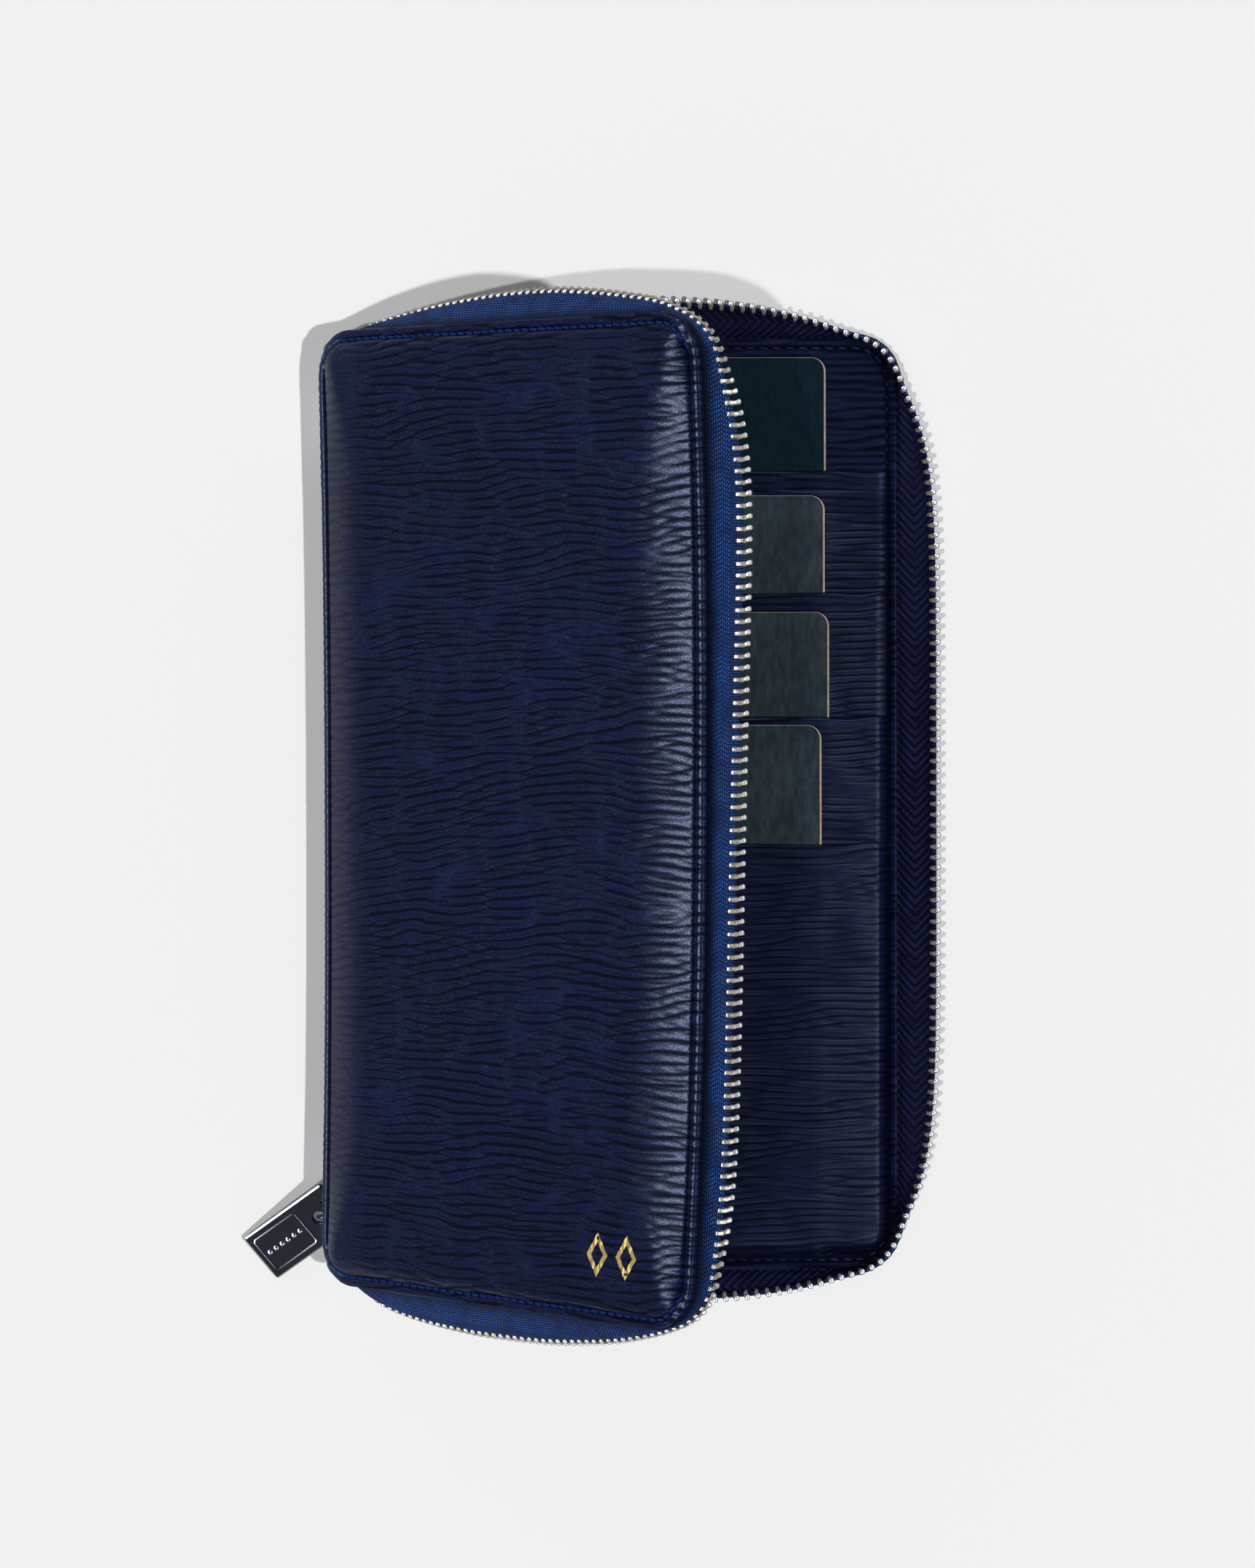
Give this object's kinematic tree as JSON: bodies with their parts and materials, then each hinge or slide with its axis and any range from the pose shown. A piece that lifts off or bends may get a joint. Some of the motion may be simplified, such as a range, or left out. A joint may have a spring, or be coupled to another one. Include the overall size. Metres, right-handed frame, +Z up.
{
  "type": "zip-around passport holder",
  "caption": "Partly open zip-around travel wallet in creased leather: hinged covers on a spine strip, card pockets, flared zip tape with metal teeth, slider and flat pull tab.",
  "frame": {"origin": "centre of the back cover's flat outer face, which rests on the table", "axes": "+Z up out of the back cover towards its card pockets, +X away from the spine, +Y up along the spine"},
  "size_m": [0.1559, 0.228, 0.1092],
  "materials": {
    "outer_leather": "navy leather, fine creased grain running across the cover, satin sheen",
    "inner_leather": "navy creased leather, slightly flatter, satin",
    "board": "grey-brown pressed fibre board, matt",
    "zip_tape": "royal blue woven tape, herringbone",
    "zip_metal": "pale champagne metal, polished",
    "pull_steel": "dark polished steel",
    "card": "dark green suede-like card with a cream cut edge",
    "thread": "blue polyester thread",
    "foil": "hot-stamped gold foil"
  },
  "bodies": {
    "back_cover": {"back_card_pocket_1": "inner_leather", "back_card_pocket_2": "inner_leather", "back_card_pocket_3": "inner_leather", "back_card_pocket_4": "inner_leather", "back_cover_leather": "outer_leather", "back_lining": "inner_leather", "back_stiffener_board": "board", "back_stitch_thread": "thread", "back_zip_tape": "zip_tape", "back_zip_teeth": "zip_metal"},
    "spine": {"spine_leather": "outer_leather", "spine_lining": "inner_leather", "zip_chain_end_lower": "zip_metal", "zip_chain_end_upper": "zip_metal", "zip_end_tape_lower": "zip_tape", "zip_end_tape_upper": "zip_tape", "zip_stop_lower": "zip_metal", "zip_stop_upper": "zip_metal"},
    "front_cover": {"front_cover_leather": "outer_leather", "front_foil_mark": "foil", "front_lining": "inner_leather", "front_passport_pocket": "inner_leather", "front_stiffener_board": "board", "front_stitch_thread": "thread", "front_zip_tape": "zip_tape", "front_zip_teeth": "zip_metal"},
    "slider": {"zip_slider": "pull_steel", "slider_bridge": "pull_steel"},
    "ring": {"pull_ring": "pull_steel"},
    "tab": {"pull_tab": "pull_steel"},
    "card_1": {"card_1": "card"},
    "card_2": {"card_2": "card"},
    "card_3": {"card_3": "card"},
    "card_4": {"card_4": "card"}
  },
  "joints": [
    {"name": "spine_fold", "type": "hinge", "parent": "back_cover", "child": "spine", "pos_m": [-0.059, 0, 0.0032], "axis": [0, -1, 0], "range_deg": [-24.2, 65.8]},
    {"name": "cover_fold", "type": "hinge", "parent": "spine", "child": "front_cover", "pos_m": [-0.06539, 0, 0.01743], "axis": [0, -1, 0], "range_deg": [-24.2, 65.8]},
    {"name": "slider_travel", "type": "slide", "parent": "spine", "child": "slider", "axis": [0, -1, 0], "range_m": [0, 0.006]},
    {"name": "ring_swing", "type": "hinge", "parent": "slider", "child": "ring", "pos_m": [-0.06676, -0.0926, 0.00826], "axis": [0, 1, 0], "range_deg": [-8, 30]},
    {"name": "tab_swing", "type": "hinge", "parent": "ring", "child": "tab", "pos_m": [-0.0699, -0.0926, 0.00685], "axis": [-0.4099, 0, 0.9121], "range_deg": [-20, 20]},
    {"name": "card_1_slide", "type": "slide", "parent": "back_cover", "child": "card_1", "axis": [0, 1, 0], "range_m": [0, 0.0035]},
    {"name": "card_2_slide", "type": "slide", "parent": "back_cover", "child": "card_2", "axis": [0, 1, 0], "range_m": [0, 0.028]},
    {"name": "card_3_slide", "type": "slide", "parent": "back_cover", "child": "card_3", "axis": [0, 1, 0], "range_m": [0, 0.028]},
    {"name": "card_4_slide", "type": "slide", "parent": "back_cover", "child": "card_4", "axis": [0, 1, 0], "range_m": [0, 0.028]}
  ],
  "couplings": [
    {"joint": "cover_fold", "follows": "spine_fold", "ratio": 1}
  ]
}
